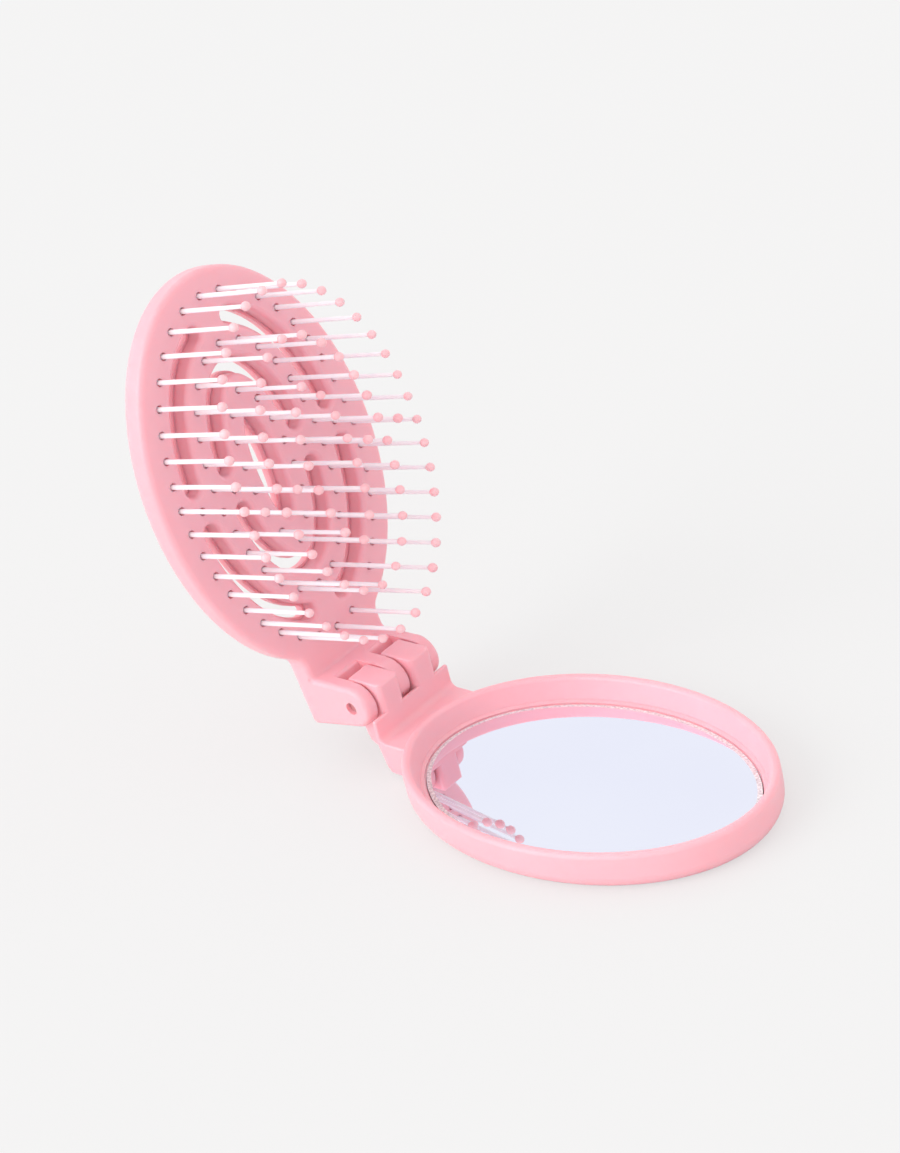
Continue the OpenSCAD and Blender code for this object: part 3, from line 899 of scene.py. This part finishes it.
def cut_notches(obj):
    """Opens the plate under the knuckles."""
    floor_y, end = -BRUSH_REACH + NOTCH_V + SKIN, NECK_END - PAST
    notch = [(UNDER_PLATE, end), (UNDER_PLATE, floor_y), (PAST, floor_y), (PAST, end)]
    for side in (-1, 1):
        low, high = sorted((side * (MID_HALF - SKIN), side * (EAR_IN + SKIN)))
        combine(obj, slab("notch", notch, low, high, outward), "DIFFERENCE")


# %% [markdown]
# ## The brush body put together
# The order matters. The plate is notched before the block joins it, and the space for the pad and the
# cover is cut before the vents, with a collar left standing round each vent. The bore comes last, so
# that it goes through both ears and the middle knuckle in one cut.

# %% Put the brush body together
HOLD_GAP = 0.02 * MM                # round the hinge pin, where it is held
BACK_RIM, LEDGE_W, DROP_GAP = 2.7 * MM, 0.9 * MM, 0.12 * MM
COVER_IN = COVER_T - BRUSH_T        # inner side of the back cover


def brush_ovals(name, inset, low, high):
    """An upright solid on the brush's oval, moved in by inset."""
    return stack(name, [oval_ring(BRUSH_W, BRUSH_L, z, -inset) for z in (low, high)])


def add_brush_body():
    body = add_plate()
    cut_notches(body)
    combine(body, add_block(), "UNION")
    combine(body, brush_ovals("pocket", BACK_RIM, UNDER_PLATE, COVER_IN), "DIFFERENCE")
    room = brush_ovals("room", BACK_RIM + LEDGE_W, COVER_IN - WELD, -FACE_T)
    collars = [stack("collar", [[(*p, z) for p in plan] for z in (COVER_IN + SKIN, 0)])
               for plan in vent_plans(COLLAR_T)]
    combine(room, join(collars), "DIFFERENCE")
    combine(body, room, "DIFFERENCE")
    cut_vents(body, -BRUSH_T, 0, VENT_FLARE, 1)
    cut_pin_wells(body)
    combine(body, add_bore(HOLD_GAP, (0, -BRUSH_REACH, PIVOT_H), (0, math.pi / 2, 0)), "DIFFERENCE")
    finish_piece(body, "brush_body_moulding", "brush_half", PINK, "brush_body",
                 matrix=STAND)


add_brush_body()

# %% [markdown]
# ## The back cover
# The back is closed by a flat oval cover with the same vents, which sits in a pocket with a fine seam.
# Two ovals and one bevel make it. Its vents are a little narrower than those of the face, because the
# photograph shows only thin slivers of the background through them.

# %% Back cover
COVER_SOFT, COVER_FLARE, COVER_TIGHT = 0.25 * MM, 0.3 * MM, 0.6 * MM


def add_back_cover():
    cover = brush_ovals("cover", BACK_RIM + DROP_GAP, -BRUSH_T, COVER_IN)
    edit(cover)
    pick_edges(cover, lambda e: all(abs(v.co.z + BRUSH_T) < SAME for v in e.verts))
    bpy.ops.mesh.bevel(offset=COVER_SOFT, offset_type="OFFSET", segments=3, affect="EDGES")
    bpy.ops.object.mode_set(mode="OBJECT")
    cut_vents(cover, -BRUSH_T, COVER_IN, COVER_FLARE, -1, tight=COVER_TIGHT)
    finish_piece(cover, "back_cover_moulding", "brush_half", PINK, "back_cover",
                 matrix=STAND)


add_back_cover()

# %% [markdown]
# ## Pins and ball tips
# A pin is a thin nylon shaft with a foot behind the pad and a resin drop on its end. One pin and one
# drop are modelled and then copied to every place of a row, each copy with its own mesh. An instancer
# would be lighter, but the rows have to be finished meshes that ride on the brush half.

# %% One pin
FACE_GAP = PIVOT.z + PIVOT_H - GLASS_TOP         # from the face to the glass when folded
TIP_GAP, TIP_L, TIP_D = 0.35 * MM, 2.3 * MM, 1.9 * MM
TIP_MID = FACE_GAP - TIP_GAP - TIP_L / 2
PIN_SIDES, PIN_R_ROOT, PIN_R_END, FOOT_R = 14, 0.525 * MM, 0.425 * MM, 1.1 * MM
FOOT_BACK, CUSHION_BACK = COVER_IN + DROP_GAP, -FACE_T - CUSHION_T


def add_pin():
    """A pin, from its foot behind the pad to the middle of its drop."""
    return round_stack("pin", [
        (FOOT_BACK, FOOT_R), (CUSHION_BACK, FOOT_R), (CUSHION_BACK, PIN_R_ROOT), (0, PIN_R_ROOT),
        (TIP_MID - TIP_L / 2, PIN_R_END), (TIP_MID, PIN_R_END)], PIN_SIDES)


# %% One drop
SQUEEZES = ((0.3 * MM, 0.97), (0.6 * MM, 0.94), (0.9 * MM, 0.9))    # depth below the middle, share


def add_tip():
    """A sphere, made longer and then narrowed step by step towards the pin, like an egg."""
    middle = (0, 0, TIP_MID)
    deselect()
    bpy.ops.mesh.primitive_uv_sphere_add(segments=16, ring_count=10, radius=TIP_D / 2, location=middle)
    tip = bpy.context.active_object
    bpy.ops.object.transform_apply(location=True, rotation=False, scale=False)
    edit(tip)
    bpy.ops.mesh.select_all(action="SELECT")
    bpy.ops.transform.resize(value=(1, 1, TIP_L / TIP_D), center_override=middle)
    for below, squeeze in SQUEEZES:
        bpy.ops.mesh.select_all(action="DESELECT")
        mesh = bmesh.from_edit_mesh(tip.data)
        for vertex in mesh.verts:
            vertex.select = vertex.co.z < TIP_MID - below
        mesh.select_flush(True)
        bmesh.update_edit_mesh(tip.data)
        bpy.ops.transform.resize(value=(squeeze, squeeze, 1), center_override=middle)
    bpy.ops.object.mode_set(mode="OBJECT")
    return tip


# %% Fill the rows
TIP_SPREAD = 0.05                   # the drops are dipped, so their sizes differ, by this share


def add_row(first, name, places, material, node, spread=0.0):
    """Copies a piece to all places of a row; a sine of each place spreads the sizes."""
    moves = []
    for n, p in enumerate(places):
        size = 1 + spread * math.sin(12.9 * n + 40 * p.x)
        moves.append(Matrix.Translation((*p, TIP_MID)) @ Matrix.Scale(size, 4)
                     @ Matrix.Translation((0, 0, -TIP_MID)))
    finish_piece(copies(first, moves), name, "brush_half", material, node,
                 matrix=STAND, weighted=False)


pin, tip = add_pin(), add_tip()
for row, places in ROWS.items():
    add_row(pin, f"pin_row_{row}", places, NYLON, f"pins_{row}")
    add_row(tip, f"tip_row_{row}", places, RESIN, f"tips_{row}", spread=TIP_SPREAD)
bpy.data.objects.remove(pin)
bpy.data.objects.remove(tip)

# %% [markdown]
# ## Pieces that stay as they are
# The hinge pin, the elastic pad behind the face and the tape under the glass are right as solids. They
# hardly show, so modelling them again would add nothing, and they only get a finish; the pin's finish
# holds a painted pink reflection and the pad's a painted shade.

# %% Finishes for the solids
SOLIDS = {"hinge_pin": steel_with_painted_pink(), "cushion_pad": rubber_with_painted_shade(), "mirror_pad": foam_tape()}
for node, material in SOLIDS.items():
    solid = frame["nodes"][node]
    solid.data.materials.clear()
    solid.data.materials.append(material)
    print(node, "gets", material.name)

# %% [markdown]
# ## Floor and light
# The photograph is a studio shot on a pale sweep, in a room that is lit all round. A dome of light
# gives that, and one broad sun from the left adds direction and the soft shadow. The paper could be
# made white by more light, but that would bleach the pink as well. So it glows a little, and only
# towards the camera; everything else sees plain pale paper.

# %% Floor
FLOOR_SIZE = 6
BACKDROP = linear(244, 244, 244)    # what the camera sees behind the object
GLOW_SHARE = 0.66                   # of the paper's colour that the camera gets as plain backdrop
deselect()
bpy.ops.mesh.primitive_plane_add(size=FLOOR_SIZE)
floor = bpy.context.active_object
floor.name = "floor"


def sweep_paper():
    """Pale paper that the camera sees nearly evenly lit, so that only faint shadows are left."""
    material, shader = new_material("sweep paper")
    shader.inputs["Roughness"].default_value = 0.9
    vary_colour(material, shader, add_noise(material, 3), linear(223, 224, 224), linear(224, 225, 225))
    shader.inputs["Specular IOR Level"].default_value = 0.0
    nodes, links = material.node_tree.nodes, material.node_tree.links
    glow = nodes.new("ShaderNodeEmission")
    glow.inputs["Color"].default_value = BACKDROP
    path = nodes.new("ShaderNodeLightPath")
    share = nodes.new("ShaderNodeMath")
    share.operation = "MULTIPLY"
    share.inputs[1].default_value = GLOW_SHARE
    mix = nodes.new("ShaderNodeMixShader")
    links.new(path.outputs["Is Camera Ray"], share.inputs[0])
    links.new(share.outputs[0], mix.inputs["Fac"])
    links.new(shader.outputs["BSDF"], mix.inputs[1])
    links.new(glow.outputs["Emission"], mix.inputs[2])
    links.new(mix.outputs["Shader"], nodes["Material Output"].inputs["Surface"])
    return material


floor.data.materials.append(sweep_paper())
floor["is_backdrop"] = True
print("floor:", FLOOR_SIZE, "m wide")

# %% Key light
KEY_FROM = Vector((-0.38, -0.9, 0.5))            # the direction that the light comes from
KEY_ENERGY, KEY_ANGLE = 1.55, math.radians(50)   # a wide angle makes soft shadows
deselect()
bpy.ops.object.light_add(type="SUN", location=KEY_FROM)
key = bpy.context.active_object
key.name = "key"
key.data.energy = KEY_ENERGY
key.data.angle = KEY_ANGLE
key.rotation_mode = "QUATERNION"
key.rotation_quaternion = KEY_FROM.to_track_quat("Z", "Y")
print("key light from", [round(c, 2) for c in KEY_FROM])

# %% Dome of light
DOME_COLOUR, DOME_STRENGTH = (1.0, 0.97, 0.965, 1), 1.02
WALL_COLOUR, WALL_STRENGTH = (0.93, 0.945, 0.985, 1), 1.0


def studio_world():
    """Soft light from all round; glossy surfaces see the white walls of the studio."""
    world = bpy.data.worlds.new("studio")
    world.use_nodes = True
    nodes, links = world.node_tree.nodes, world.node_tree.links
    dome = nodes["Background"]
    dome.inputs["Color"].default_value = DOME_COLOUR
    dome.inputs["Strength"].default_value = DOME_STRENGTH
    walls = nodes.new("ShaderNodeBackground")
    walls.inputs["Color"].default_value = WALL_COLOUR
    walls.inputs["Strength"].default_value = WALL_STRENGTH
    backdrop = nodes.new("ShaderNodeBackground")
    backdrop.inputs["Color"].default_value = BACKDROP
    path = nodes.new("ShaderNodeLightPath")
    below, seen = nodes.new("ShaderNodeMixShader"), nodes.new("ShaderNodeMixShader")
    links.new(path.outputs["Is Glossy Ray"], below.inputs["Fac"])
    links.new(dome.outputs["Background"], below.inputs[1])
    links.new(walls.outputs["Background"], below.inputs[2])
    links.new(path.outputs["Is Camera Ray"], seen.inputs["Fac"])
    links.new(below.outputs["Shader"], seen.inputs[1])
    links.new(backdrop.outputs["Background"], seen.inputs[2])
    links.new(seen.outputs["Shader"], nodes["World Output"].inputs["Surface"])
    return world


bpy.context.scene.world = studio_world()
bpy.context.scene.view_settings.view_transform = "Standard"
print("world:", bpy.context.scene.world.name)

# %% [markdown]
# ## Measure the size
# Both boxes, of the construction model and of the dressed object, are measured, and how much the size
# grows is printed. The dressed object has to stay inside the box of the construction model.

# %% Write the sizes and finish
shown_low, shown_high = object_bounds()
growth = (shown_high - shown_low) - (cad_high - cad_low)
print("size grows by", [round(d / MM, 3) for d in growth], "mm")
